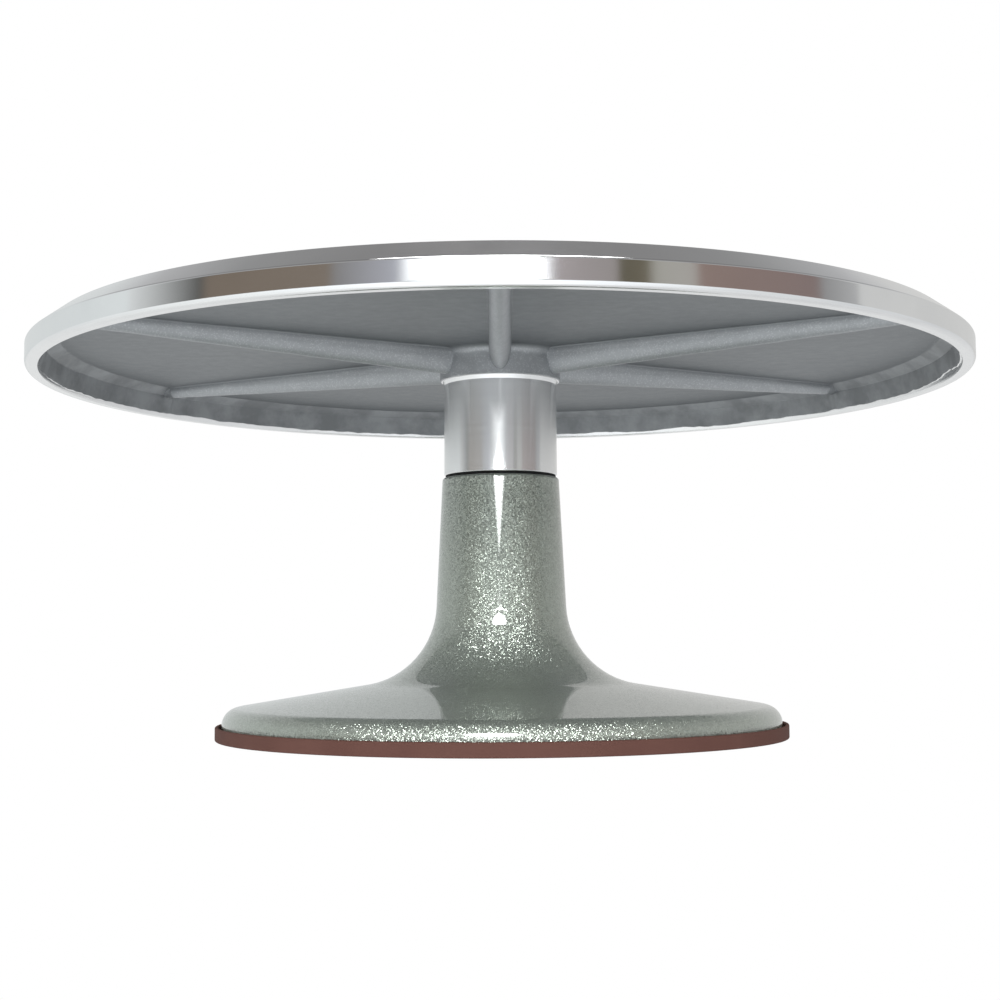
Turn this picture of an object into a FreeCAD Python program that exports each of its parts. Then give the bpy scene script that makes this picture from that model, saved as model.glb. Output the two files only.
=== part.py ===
"""Cake turntable: a cast aluminium plate turning on two ball bearings in a painted pedestal.

Row frame: origin at the centre of the foot pad's underside, +Z up along the spin axis, millimetres.
Every size is a cell of the Sizes sheet, and the sketches, primitives and fillets are bound to the cells.
One object is made for each physical piece, and its Label names the STEP file that is written for it.
"""
import FreeCAD, Part
import math
import os
from types import SimpleNamespace

import Sketcher

SIZES = {
    # plate casting: turned top and rim, thin web
    "plate_radius": 152.5, "plate_top": 129.4, "bevel_width": 7.6, "bevel_height": 5.7,
    "bevel_edge_round": 0.6, "band_edge_round": 0.9, "rim_bottom": 116.5, "rim_foot_round": 1.6,
    "rim_inner": 148.5, "rim_wall_top": 124.3, "wall_top_radius": 146.9, "wall_crease_round": 0.8,
    "cove_radius": 142.6, "web_bottom": 126.9, "cove_round": 2.5,
    "ring_first": 50.8, "ring_step": 25.4, "ring_half_width": 0.4, "ring_depth": 0.3,
    # plate casting: hub and ribs
    "hub_radius": 20.0, "hub_round": 2.8, "spigot_radius": 15.8, "spigot_bottom": 91.5,
    "hub_bore_top": 122.0, "rib_count": 6, "rib_inner_end": 12.0, "rib_outer_end": 148.0,
    "rib_root": 127.6, "rib_hub_bottom": 118.1, "rib_rim_bottom": 123.4, "rib_hub_width": 7.4,
    "rib_rim_width": 5.6, "rib_hub_nose": 2.5, "rib_rim_nose": 1.8,
    # collar sleeve
    "collar_radius": 18.7, "collar_bottom": 85.8, "collar_top": 117.2, "collar_lip_radius": 19.2,
    "collar_lip_height": 0.15, "collar_lip_chamfer": 1.2, "collar_edge_chamfer": 0.2,
    # pedestal casting, outside
    "stem_top": 85.0, "stem_top_radius": 19.3, "stem_foot_radius": 22.5, "stem_foot_height": 20.5,
    "flange_radius": 90.8, "flange_edge_height": 9.5, "foot_bottom": 2.0, "stem_edge_round": 1.0,
    "stem_sweep_round": 27.0, "flange_edge_round": 5.6,
    # pedestal casting, inside
    "foot_inner": 86.8, "foot_wall_top": 5.1, "bell_outer_radius": 84.0, "bell_outer_height": 7.1,
    "bell_inner_radius": 34.0, "bell_inner_height": 14.6, "throat_radius": 20.5, "throat_height": 24.0,
    "bell_round": 6.0, "housing_bottom": 30.0, "housing_bore": 14.0, "housing_chamfer": 0.5,
    # foot pad
    "pad_radius": 92.9, "pad_inner": 76.0, "pad_lip_top": 4.4, "pad_lip_inner": 91.7,
    "tongue_outer": 86.4, "tongue_inner": 84.6, "tongue_top": 4.6, "pad_round": 0.5,
    "grip_first": 78.6, "grip_step": 3.4, "grip_half_width": 0.6, "grip_depth": 0.6, "grip_count": 4,
    # ball bearings, 15 x 32 x 9
    "bearing_bore": 7.5, "bearing_outer": 16.0, "bearing_width": 9.0, "bearing_chamfer": 0.5,
    "ball_radius": 2.381, "ball_count": 9, "pitch_radius": 11.75, "track_radius": 2.476,
    "track_clearance": 0.015, "land_offset": 1.5, "shield_seat": 13.7,
    "shield_inset": 0.35, "shield_thickness": 0.7, "shield_gap": 0.05, "shield_inner": 10.45,
    "cage_inner": 10.6, "cage_outer": 12.9, "cage_below": 1.6, "cage_above": 3.0, "pocket_radius": 2.48,
    "upper_bearing_bottom": 74.7, "lower_bearing_bottom": 37.0,
    # retaining ring under the lower bearing
    "clip_outer": 16.75, "clip_inner": 13.8, "clip_thickness": 1.2, "clip_groove_radius": 16.85,
    "clip_groove_width": 1.3, "clip_gap_angle": 30.0, "clip_ear_radius": 1.7, "clip_hole_radius": 0.8,
    "clip_ear_pitch": 13.6, "clip_ear_angle": 20.0,
    # spindle and what it carries
    "head_radius": 8.0, "head_top": 121.5, "neck_radius": 9.6, "thread_radius": 6.0,
    "spindle_end": 20.8, "spindle_chamfer": 0.8, "spacer_bore": 7.6, "spacer_outer": 9.6,
    "seal_bottom": 86.0, "seal_top": 88.0, "seal_outer": 15.5, "seal_waist": 12.4,
    "seal_lip_radius": 18.3, "seal_lip_top": 85.6, "seal_lip_bottom": 85.15,
    "washer_outer": 10.0, "washer_bore": 6.3, "washer_thickness": 2.0, "nut_corner_radius": 10.97,
    "nut_flat_radius": 9.5, "nut_height": 10.0, "nut_chamfer_angle": 30.0, "nut_neck_radius": 8.4,
    "nut_neck_height": 3.0, "insert_outer": 7.6, "insert_bore": 6.02, "insert_inset": 0.5,
    "insert_thickness": 2.0,
}
FULL_TURN = 360.0
GUIDE_RINGS = 4             # concentric centring grooves in the plate's top
PROUD = 0.05                # how far a cutting outline stands out of the face that it cuts
OVERSHOOT = 1.0             # how far a cutting cylinder runs past each end of what it cuts
MIN_VOLUME_CHANGE = 0.5     # mm3: a feature that changes less than this has missed the solid
MIN_ROUNDED_VOLUME = 0.05   # mm3: the same for a fillet
NEAR = 1e-4                 # mm: how closely an edge has to match the circle that is looked for


class Size:
    """A number together with the expression over the sheet's cells that gives it."""

    def __init__(self, number, text):
        self.number = number
        self.text = text

    def joined(self, sign, other, number):
        return Size(number, f"({self.text} {sign} {sized(other).text})")

    def __add__(self, other):
        return self.joined("+", other, self.number + sized(other).number)

    def __sub__(self, other):
        return self.joined("-", other, self.number - sized(other).number)

    def __mul__(self, other):
        return self.joined("*", other, self.number * sized(other).number)

    def __truediv__(self, other):
        return self.joined("/", other, self.number / sized(other).number)


def sized(number):
    """A plain number as a Size. A Size is given back as it is."""
    return number if isinstance(number, Size) else Size(float(number), repr(float(number)))


def trig(name, degrees):
    """The sine, cosine or tangent of an angle in degrees, as sin, cos or tan."""
    angle = sized(degrees)
    return Size(getattr(math, name)(math.radians(angle.number)), f"{name}({angle.text})")


def square_root(size):
    return Size(math.sqrt(size.number), f"sqrt({size.text})")


doc = FreeCAD.newDocument("cake_turntable")
sheet = doc.addObject("Spreadsheet::Sheet", "Sizes")
for row, (alias, number) in enumerate(SIZES.items(), start=1):
    sheet.set(f"A{row}", alias)
    sheet.set(f"B{row}", repr(number))
    sheet.setAlias(f"B{row}", alias)
doc.recompute()

cell = SimpleNamespace(**{alias: Size(number, f"Sizes.{alias}") for alias, number in SIZES.items()})
UPPER_SEAT = cell.upper_bearing_bottom
LOWER_SEAT = cell.lower_bearing_bottom + cell.bearing_width
NECK_BOTTOM = cell.upper_bearing_bottom + cell.bearing_width
sub_parts = []


def finish(thing, label):
    """Gives a sub-part its Label and puts it on the list that is written out."""
    thing.Label = label
    sub_parts.append(thing)


def bind(thing, **sizes):
    """Binds properties of an object to sizes. A name's double underscore stands for a dot."""
    for name, size in sizes.items():
        thing.setExpression(name.replace("__", "."), sized(size).text)


# ---------------------------------------------------------------- sketches and PartDesign features

def new_body(name):
    return doc.addObject("PartDesign::Body", name)


def origin_part(body, role):
    return next(feature for feature in body.Origin.OriginFeatures if feature.Role == role)


def new_sketch(body, name, role="XZ_Plane"):
    sketch = body.newObject("Sketcher::SketchObject", name)
    sketch.AttachmentSupport = [(origin_part(body, role), "")]
    sketch.MapMode = "FlatFace"
    return sketch


def hold(sketch, size, *place):
    """Adds a dimension to a sketch and binds it to a size."""
    index = sketch.addConstraint(Sketcher.Constraint(*place, sized(size).number))
    sketch.setExpression(f"Constraints[{index}]", sized(size).text)


def pin(sketch, line, x, y):
    """Fixes a line's start point at a place measured from the sketch's origin."""
    for kind, size, axis in (("DistanceX", x, -2), ("DistanceY", y, -1)):
        if sized(size).number == 0:
            sketch.addConstraint(Sketcher.Constraint("PointOnObject", line, 1, axis))
        else:
            hold(sketch, size, kind, -1, 1, line, 1)


def side(start, end, arc_radius):
    """A straight side or, with a radius, an arc of under half a turn that runs anticlockwise."""
    if arc_radius is None:
        return Part.LineSegment(start, end)
    half = (end - start) * 0.5
    rise = math.sqrt(arc_radius ** 2 - half.Length ** 2)
    centre = start + half + FreeCAD.Vector(-half.y, half.x, 0).normalize() * rise
    from_angle = math.atan2(start.y - centre.y, start.x - centre.x)
    to_angle = math.atan2(end.y - centre.y, end.x - centre.x)
    if to_angle < from_angle:
        to_angle += 2 * math.pi
    circle = Part.Circle(centre, FreeCAD.Vector(0, 0, 1), arc_radius)
    return Part.ArcOfCircle(circle, from_angle, to_angle)


def draw_outline(sketch, corners):
    """A closed outline. A corner is (x, y), or (x, y, radius) if the side that leaves it is an arc."""
    points = [FreeCAD.Vector(sized(corner[0]).number, sized(corner[1]).number, 0) for corner in corners]
    first, count = sketch.GeometryCount, len(points)
    for i, (x, y, *arc) in enumerate(corners):
        radius = arc[0].number if arc else None
        sketch.addGeometry(side(points[i], points[(i + 1) % count], radius), False)
    for i in range(count):
        sketch.addConstraint(Sketcher.Constraint("Coincident", first + i, 2, first + (i + 1) % count, 1))
    for i, (x, y, *arc) in enumerate(corners):
        pin(sketch, first + i, x, y)
        if arc:
            hold(sketch, arc[0], "Radius", first + i)


def revolve(body, name, outlines, kind="Revolution"):
    """Turns outlines of (radius, height) about +Z, as material or, with kind Groove, as a cut."""
    before = body.Shape.Volume if body.Tip else 0.0
    sketch = new_sketch(body, name + "_profile")
    for corners in outlines:
        draw_outline(sketch, corners)
    feature = body.newObject("PartDesign::" + kind, name)
    feature.Profile = sketch
    feature.ReferenceAxis = (sketch, ["V_Axis"])
    feature.Angle = FULL_TURN
    doc.recompute()
    gained = body.Shape.Volume - before
    if (gained if kind == "Revolution" else -gained) < MIN_VOLUME_CHANGE:
        raise RuntimeError(f"{name} changed the volume by {gained:.3f} mm3")


def edge_name(shape, radius, height):
    """The name of a shape's circular edge of that radius at that height."""
    for number, edge in enumerate(shape.Edges, start=1):
        curve = edge.Curve
        if isinstance(curve, Part.Circle) and abs(curve.Radius - radius.number) < NEAR \
                and abs(curve.Center.z - height.number) < NEAR:
            return f"Edge{number}"
    raise RuntimeError(f"there is no circle {radius.text} at height {height.text}")


def round_edges(body, name, size, edges):
    """Rounds circular edges, each given as a (radius, height) pair of sizes."""
    base = body.Tip
    names = [edge_name(base.Shape, sized(radius), sized(height)) for radius, height in edges]
    feature = body.newObject("PartDesign::Fillet", name)
    feature.Base = (base, names)
    feature.Radius = size.number
    bind(feature, Radius=size)
    doc.recompute()
    if abs(feature.Shape.Volume - base.Shape.Volume) < MIN_ROUNDED_VOLUME:
        raise RuntimeError(f"{name} rounded nothing")


# ---------------------------------------------------------------- Part primitives and booleans

def primitive(kind, name, z=0, x=0, y=0, **sizes):
    """A Part primitive with its sizes and its place bound to the sheet."""
    made = doc.addObject("Part::" + kind, name)
    bind(made, Placement__Base__x=x, Placement__Base__y=y, Placement__Base__z=z, **sizes)
    return made


def boolean(kind, name, base, tool):
    made = doc.addObject("Part::" + kind, name)
    made.Base = base
    made.Tool = tool
    return made


def group(name, pieces):
    made = doc.addObject("Part::Compound", name)
    made.Links = pieces
    return made


def ring(name, outer, inner, bottom, height):
    """A plain ring of rectangular section about +Z."""
    outside = primitive("Cylinder", name + "_outside", z=bottom, Radius=outer, Height=height)
    inside = primitive("Cylinder", name + "_inside", z=bottom - OVERSHOOT, Radius=inner,
                       Height=height + 2 * OVERSHOOT)
    return boolean("Cut", name, outside, inside)


# ---------------------------------------------------------------- the standing pieces

def make_pedestal():
    """The pedestal casting: a trumpet stem and wide foot, rounded first, then cored and bored out."""
    body = new_body("pedestal")
    revolve(body, "trumpet", [[
        (0, cell.stem_top), (cell.stem_top_radius, cell.stem_top),
        (cell.stem_foot_radius, cell.stem_foot_height), (cell.flange_radius, cell.flange_edge_height),
        (cell.flange_radius, cell.foot_bottom), (0, cell.foot_bottom),
    ]])
    round_edges(body, "stem_sweep", cell.stem_sweep_round, [(cell.stem_foot_radius, cell.stem_foot_height)])
    round_edges(body, "flange_edge", cell.flange_edge_round, [
        (cell.flange_radius, cell.flange_edge_height),
    ])
    round_edges(body, "stem_edge", cell.stem_edge_round, [(cell.stem_top_radius, cell.stem_top)])
    mouth = cell.bearing_outer + cell.housing_chamfer
    groove_bottom = cell.lower_bearing_bottom - cell.clip_groove_width
    revolve(body, "core", [[
        (0, cell.foot_bottom - PROUD), (cell.foot_inner, cell.foot_bottom - PROUD),
        (cell.foot_inner, cell.foot_wall_top), (cell.bell_outer_radius, cell.bell_outer_height),
        (cell.bell_inner_radius, cell.bell_inner_height), (cell.throat_radius, cell.throat_height),
        (cell.throat_radius, cell.housing_bottom), (mouth, cell.housing_bottom),
        (cell.bearing_outer, cell.housing_bottom + cell.housing_chamfer),
        (cell.bearing_outer, groove_bottom), (cell.clip_groove_radius, groove_bottom),
        (cell.clip_groove_radius, cell.lower_bearing_bottom),
        (cell.bearing_outer, cell.lower_bearing_bottom), (cell.bearing_outer, LOWER_SEAT),
        (cell.housing_bore, LOWER_SEAT), (cell.housing_bore, UPPER_SEAT), (cell.bearing_outer, UPPER_SEAT),
        (cell.bearing_outer, cell.stem_top - cell.housing_chamfer), (mouth, cell.stem_top),
        (mouth, cell.stem_top + PROUD), (0, cell.stem_top + PROUD),
    ]], "Groove")
    round_edges(body, "bell_bend", cell.bell_round, [(cell.bell_inner_radius, cell.bell_inner_height)])
    finish(body, "pedestal_casting")


def make_foot_pad():
    """The rubber ring under the foot: a floor, a lip round the foot's edge, an inner tongue and grips."""
    body = new_body("pad")
    floor = cell.foot_bottom
    revolve(body, "pad_ring", [[
        (cell.pad_inner, 0), (cell.pad_radius, 0), (cell.pad_radius, cell.pad_lip_top),
        (cell.pad_lip_inner, cell.pad_lip_top), (cell.pad_lip_inner, floor), (cell.tongue_outer, floor),
        (cell.tongue_outer, cell.tongue_top), (cell.tongue_inner, cell.tongue_top),
        (cell.tongue_inner, floor), (cell.pad_inner, floor),
    ]])
    round_edges(body, "pad_rounds", cell.pad_round, [
        (cell.pad_radius, cell.pad_lip_top), (cell.pad_lip_inner, cell.pad_lip_top), (cell.pad_radius, 0),
        (cell.pad_inner, floor), (cell.tongue_outer, cell.tongue_top), (cell.tongue_inner, cell.tongue_top),
    ])
    grips = []
    for i in range(SIZES["grip_count"]):
        middle = cell.grip_first + cell.grip_step * i
        left, right = middle - cell.grip_half_width, middle + cell.grip_half_width
        grips.append([(left, 0), (right, 0), (right, cell.grip_depth), (left, cell.grip_depth)])
    revolve(body, "grip_grooves", grips, "Groove")
    finish(body, "foot_pad")


def make_retaining_ring():
    """The spring steel ring, open at +X between two eared ends, that holds the lower bearing up."""
    bottom = cell.lower_bearing_bottom - cell.clip_thickness
    cut_bottom, cut_height = bottom - OVERSHOOT, cell.clip_thickness + 2 * OVERSHOOT
    band = ring("clip_band", cell.clip_outer, cell.clip_inner, bottom, cell.clip_thickness)
    gap = doc.addObject("Part::Cylinder", "clip_gap")
    half_gap = FreeCAD.Rotation(FreeCAD.Vector(0, 0, 1), -cell.clip_gap_angle.number / 2)
    gap.Placement = FreeCAD.Placement(FreeCAD.Vector(), half_gap)
    bind(gap, Radius=cell.clip_outer + OVERSHOOT, Height=cut_height, Angle=cell.clip_gap_angle,
         Placement__Base__z=cut_bottom)
    clip = boolean("Cut", "clip_open", band, gap)
    for side, name in ((-1, "right"), (1, "left")):
        x = cell.clip_ear_pitch * trig("cos", cell.clip_ear_angle)
        y = cell.clip_ear_pitch * trig("sin", cell.clip_ear_angle) * side
        ear = primitive("Cylinder", f"clip_{name}_ear", bottom, x, y, Radius=cell.clip_ear_radius,
                        Height=cell.clip_thickness)
        hole = primitive("Cylinder", f"clip_{name}_hole", cut_bottom, x, y, Radius=cell.clip_hole_radius,
                         Height=cut_height)
        clip = boolean("Fuse", f"clip_{name}_end", clip, ear)
        clip = boolean("Cut", f"clip_{name}_drilled", clip, hole)
    finish(clip, "housing_retaining_ring")


# ---------------------------------------------------------------- the ball bearings

def sphere_set(name, radius, middle):
    """As many spheres as the bearing has balls, evenly spaced round its pitch circle."""
    spheres = []
    for i in range(SIZES["ball_count"]):
        angle = sized(FULL_TURN * i) / cell.ball_count
        x, y = cell.pitch_radius * trig("cos", angle), cell.pitch_radius * trig("sin", angle)
        spheres.append(primitive("Sphere", f"{name}_{i + 1}", middle, x, y, Radius=radius))
    return spheres


def track_half_width():
    """Half the width of a ball track where it meets the land of its ring, on either ring."""
    centre_offset = cell.track_radius - cell.ball_radius - cell.track_clearance
    depth = cell.land_offset + centre_offset
    return square_root(cell.track_radius * cell.track_radius - depth * depth)


def bearing_ring(name, corners):
    body = new_body(name + "_body")
    revolve(body, name + "_turning", [corners])
    finish(body, name)


def make_bearing(prefix, bottom):
    """One shielded deep-groove ball bearing standing on a height: rings, balls, cage and two shields."""
    middle, top = bottom + cell.bearing_width / 2, bottom + cell.bearing_width
    chamfer = cell.bearing_chamfer
    inner_land, outer_land = cell.pitch_radius - cell.land_offset, cell.pitch_radius + cell.land_offset
    half = track_half_width()
    bearing_ring(prefix + "_bearing_inner_ring", [
        (inner_land, bottom), (cell.bearing_bore + chamfer, bottom), (cell.bearing_bore, bottom + chamfer),
        (cell.bearing_bore, top - chamfer), (cell.bearing_bore + chamfer, top), (inner_land, top),
        (inner_land, middle + half, cell.track_radius), (inner_land, middle - half),
    ])
    seat = cell.shield_inset + cell.shield_thickness + cell.shield_gap
    bearing_ring(prefix + "_bearing_outer_ring", [
        (outer_land, bottom + seat), (outer_land, middle - half, cell.track_radius),
        (outer_land, middle + half), (outer_land, top - seat), (cell.shield_seat, top - seat),
        (cell.shield_seat, top), (cell.bearing_outer - chamfer, top), (cell.bearing_outer, top - chamfer),
        (cell.bearing_outer, bottom + chamfer), (cell.bearing_outer - chamfer, bottom),
        (cell.shield_seat, bottom), (cell.shield_seat, bottom + seat),
    ])

    balls = sphere_set(prefix + "_ball", cell.ball_radius, middle)
    finish(group(prefix + "_ball_set", balls), prefix + "_bearing_balls")

    crown = ring(prefix + "_crown", cell.cage_outer, cell.cage_inner, middle - cell.cage_below,
                 cell.cage_below + cell.cage_above)
    pockets = group(prefix + "_pockets", sphere_set(prefix + "_pocket", cell.pocket_radius, middle))
    finish(boolean("Cut", prefix + "_cage", crown, pockets), prefix + "_bearing_cage")

    thickness = cell.shield_thickness
    heights = {"lower": bottom + cell.shield_inset, "upper": top - cell.shield_inset - thickness}
    shields = [ring(f"{prefix}_{side}_shield", cell.shield_seat, cell.shield_inner, height, thickness)
               for side, height in heights.items()]
    finish(group(prefix + "_shield_pair", shields), prefix + "_bearing_shields")


# ---------------------------------------------------------------- the turning pieces

def make_spindle():
    """The steel spindle: head pressed in the hub, neck on the upper bearing, journal, threaded end."""
    body = new_body("spindle_body")
    revolve(body, "spindle_turning", [[
        (0, cell.spindle_end), (cell.thread_radius - cell.spindle_chamfer, cell.spindle_end),
        (cell.thread_radius, cell.spindle_end + cell.spindle_chamfer),
        (cell.thread_radius, cell.lower_bearing_bottom), (cell.bearing_bore, cell.lower_bearing_bottom),
        (cell.bearing_bore, NECK_BOTTOM), (cell.neck_radius, NECK_BOTTOM),
        (cell.neck_radius, cell.spigot_bottom), (cell.head_radius, cell.spigot_bottom),
        (cell.head_radius, cell.head_top - cell.spindle_chamfer),
        (cell.head_radius - cell.spindle_chamfer, cell.head_top), (0, cell.head_top),
    ]])
    finish(body, "spindle")


def make_seal():
    """The dust seal on the spindle's neck. Its lip reaches out under the collar, over the stem's top face."""
    body = new_body("seal")
    revolve(body, "seal_ring", [[
        (cell.neck_radius, cell.seal_bottom), (cell.seal_waist, cell.seal_bottom),
        (cell.seal_waist, cell.seal_lip_bottom), (cell.seal_lip_radius, cell.seal_lip_bottom),
        (cell.seal_lip_radius, cell.seal_lip_top), (cell.seal_outer, cell.seal_lip_top),
        (cell.seal_outer, cell.seal_top), (cell.neck_radius, cell.seal_top),
    ]])
    finish(body, "dust_seal")


def make_spindle_rings():
    """The plain rings on the spindle: the spacer between the bearings, and the washer below them."""
    spacer = ring("spacer_tube", cell.spacer_outer, cell.spacer_bore, LOWER_SEAT, UPPER_SEAT - LOWER_SEAT)
    finish(spacer, "bearing_spacer_tube")
    washer = ring("washer_ring", cell.washer_outer, cell.washer_bore,
                  cell.lower_bearing_bottom - cell.washer_thickness, cell.washer_thickness)
    finish(washer, "spindle_washer")


def make_nut():
    """The self-locking hexagon nut under the washer: its neck points down and holds a nylon ring."""
    bottom = cell.lower_bearing_bottom - cell.washer_thickness - cell.nut_height
    neck_bottom = bottom - cell.nut_neck_height
    prism = primitive("Prism", "nut_prism", bottom, Circumradius=cell.nut_corner_radius,
                      Height=cell.nut_height)
    flare = cell.nut_height / trig("tan", cell.nut_chamfer_angle)
    corner_cone = primitive("Cone", "nut_corner_cone", bottom, Radius1=cell.nut_flat_radius,
                            Radius2=cell.nut_flat_radius + flare, Height=cell.nut_height)
    hexagon = boolean("Common", "nut_hexagon", prism, corner_cone)
    neck = primitive("Cylinder", "nut_neck", neck_bottom, Radius=cell.nut_neck_radius,
                     Height=cell.nut_neck_height + OVERSHOOT)
    bore = primitive("Cylinder", "nut_bore", neck_bottom - OVERSHOOT, Radius=cell.insert_bore,
                     Height=cell.nut_neck_height + cell.nut_height + 2 * OVERSHOOT)
    seat = primitive("Cylinder", "nut_insert_seat", neck_bottom + cell.insert_inset,
                     Radius=cell.insert_outer, Height=cell.insert_thickness)
    blank = boolean("Fuse", "nut_blank", hexagon, neck)
    hollow = boolean("Fuse", "nut_hollow", bore, seat)
    finish(boolean("Cut", "nut_steel", blank, hollow), "spindle_nut")
    insert = ring("nut_insert_ring", cell.insert_outer, cell.insert_bore, neck_bottom + cell.insert_inset,
                  cell.insert_thickness)
    finish(insert, "nut_insert")


def make_collar():
    """The turned sleeve on the hub's spigot. It has a thin lip where it meets the hub."""
    body = new_body("collar")
    lip_under = cell.collar_top - cell.collar_lip_height
    edge = cell.collar_edge_chamfer
    revolve(body, "collar_turning", [[
        (cell.spigot_radius, cell.collar_bottom + edge), (cell.spigot_radius + edge, cell.collar_bottom),
        (cell.collar_radius - edge, cell.collar_bottom), (cell.collar_radius, cell.collar_bottom + edge),
        (cell.collar_radius, lip_under - cell.collar_lip_chamfer), (cell.collar_lip_radius, lip_under),
        (cell.collar_lip_radius, cell.collar_top), (cell.spigot_radius, cell.collar_top),
    ]])
    finish(body, "collar_sleeve")


def rib_section(body, name, reach, bottom, width, nose):
    """A rib's drafted section with a round lower edge, in a plane square to +X."""
    sketch = new_sketch(body, name, "YZ_Plane")
    bind(sketch, AttachmentOffset__Base__z=reach)
    top, half, low = cell.rib_root.number, width.number / 2, bottom.number + nose.number
    upper_left, upper_right = FreeCAD.Vector(-half, top, 0), FreeCAD.Vector(half, top, 0)
    nose_circle = Part.Circle(FreeCAD.Vector(0, low, 0), FreeCAD.Vector(0, 0, 1), nose.number)
    sketch.addGeometry(Part.LineSegment(upper_right, upper_left), False)
    sketch.addGeometry(Part.LineSegment(upper_left, FreeCAD.Vector(-nose.number, low, 0)), False)
    sketch.addGeometry(Part.ArcOfCircle(nose_circle, math.pi, 2 * math.pi), False)
    sketch.addGeometry(Part.LineSegment(FreeCAD.Vector(nose.number, low, 0), upper_right), False)
    sketch.addConstraint([
        Sketcher.Constraint("Coincident", 0, 2, 1, 1), Sketcher.Constraint("Tangent", 1, 2, 2, 1),
        Sketcher.Constraint("Tangent", 2, 2, 3, 1), Sketcher.Constraint("Coincident", 3, 2, 0, 1),
        Sketcher.Constraint("Symmetric", 0, 1, 0, 2, -2), Sketcher.Constraint("PointOnObject", 2, 3, -2),
    ])
    hold(sketch, width, "Distance", 0)
    hold(sketch, nose, "Radius", 2)
    hold(sketch, bottom + nose, "DistanceY", -1, 1, 2, 3)
    hold(sketch, cell.rib_root, "DistanceY", -1, 1, 0, 1)
    return sketch


def make_plate():
    """The plate casting: turned top and rim, thin web, six tapering ribs, and a hub with a bored spigot."""
    body = new_body("plate")
    bevel_inner, bevel_foot = cell.plate_radius - cell.bevel_width, cell.plate_top - cell.bevel_height
    revolve(body, "plate_disc", [[
        (0, cell.plate_top), (bevel_inner, cell.plate_top), (cell.plate_radius, bevel_foot),
        (cell.plate_radius, cell.rim_bottom), (cell.rim_inner, cell.rim_bottom),
        (cell.wall_top_radius, cell.rim_wall_top),
        (cell.cove_radius, cell.web_bottom), (cell.hub_radius, cell.web_bottom),
        (cell.hub_radius, cell.collar_top), (cell.spigot_radius, cell.collar_top),
        (cell.spigot_radius, cell.spigot_bottom), (cell.head_radius, cell.spigot_bottom),
        (cell.head_radius, cell.hub_bore_top), (0, cell.hub_bore_top),
    ]])
    round_edges(body, "bevel_edge", cell.bevel_edge_round, [(bevel_inner, cell.plate_top)])
    round_edges(body, "band_edge", cell.band_edge_round, [(cell.plate_radius, bevel_foot)])
    round_edges(body, "rim_foot", cell.rim_foot_round, [(cell.plate_radius, cell.rim_bottom)])
    round_edges(body, "wall_crease", cell.wall_crease_round, [(cell.wall_top_radius, cell.rim_wall_top)])
    round_edges(body, "cove", cell.cove_round, [(cell.cove_radius, cell.web_bottom)])
    round_edges(body, "hub_root", cell.hub_round, [(cell.hub_radius, cell.web_bottom)])
    guides = []
    for i in range(GUIDE_RINGS):
        middle = cell.ring_first + cell.ring_step * i
        guides.append([(middle - cell.ring_half_width, cell.plate_top + PROUD),
                       (middle, cell.plate_top - cell.ring_depth),
                       (middle + cell.ring_half_width, cell.plate_top + PROUD)])
    revolve(body, "guide_rings", guides, "Groove")

    before = body.Shape.Volume
    near = rib_section(body, "rib_at_hub", cell.rib_inner_end, cell.rib_hub_bottom, cell.rib_hub_width,
                       cell.rib_hub_nose)
    far = rib_section(body, "rib_at_rim", cell.rib_outer_end, cell.rib_rim_bottom, cell.rib_rim_width,
                      cell.rib_rim_nose)
    doc.recompute()
    rib = body.newObject("PartDesign::AdditiveLoft", "rib")
    rib.Profile = near
    rib.Sections = [far]
    rib.Ruled = True
    doc.recompute()
    ribs = body.newObject("PartDesign::PolarPattern", "ribs")
    ribs.Originals = [rib]
    ribs.Axis = (origin_part(body, "Z_Axis"), [""])
    ribs.Angle = FULL_TURN
    bind(ribs, Occurrences=cell.rib_count)
    body.Tip = ribs
    first_rib_forward = FreeCAD.Rotation(FreeCAD.Vector(0, 0, 1), -90)
    body.Placement = FreeCAD.Placement(FreeCAD.Vector(), first_rib_forward)
    doc.recompute()
    if body.Shape.Volume - before < MIN_VOLUME_CHANGE * SIZES["rib_count"]:
        raise RuntimeError("the ribs added nothing")
    finish(body, "turntable_plate")


# ---------------------------------------------------------------- build, check and write

def check_document():
    """Stops at any failed object, and at any sub-part that isn't made of valid closed solids."""
    for thing in doc.Objects:
        if "Invalid" in thing.State or "Error" in thing.State:
            raise RuntimeError(f"{thing.Label} failed: {thing.State}")
        if thing.TypeId == "Part::Cut" and \
                thing.Base.Shape.Volume - thing.Shape.Volume < MIN_VOLUME_CHANGE:
            raise RuntimeError(f"{thing.Label} cut nothing")
    for thing in sub_parts:
        shape = thing.Shape
        if shape.isNull() or not shape.isValid() or not shape.Solids:
            raise RuntimeError(f"{thing.Label} is not a valid solid")
        if any(solid.Volume <= 0 or not solid.isClosed() for solid in shape.Solids):
            raise RuntimeError(f"{thing.Label} has an open or inside-out solid")


def write_parts():
    os.makedirs("parts", exist_ok=True)
    for thing in sub_parts:
        thing.Shape.exportStep(f"parts/{thing.Label}.step")
        box = thing.Shape.optimalBoundingBox()
        print(f"{thing.Label:28s} solids {len(thing.Shape.Solids)}  {thing.Shape.Volume / 1000:8.2f} cm3"
              f"  z {box.ZMin:7.2f} to {box.ZMax:7.2f}  width {box.XLength:7.2f}")


make_pedestal()
make_foot_pad()
make_retaining_ring()
make_bearing("upper", cell.upper_bearing_bottom)
make_bearing("lower", cell.lower_bearing_bottom)
make_spindle()
make_spindle_rings()
make_nut()
make_collar()
make_seal()
make_plate()
doc.recompute()
check_document()
write_parts()
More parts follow.
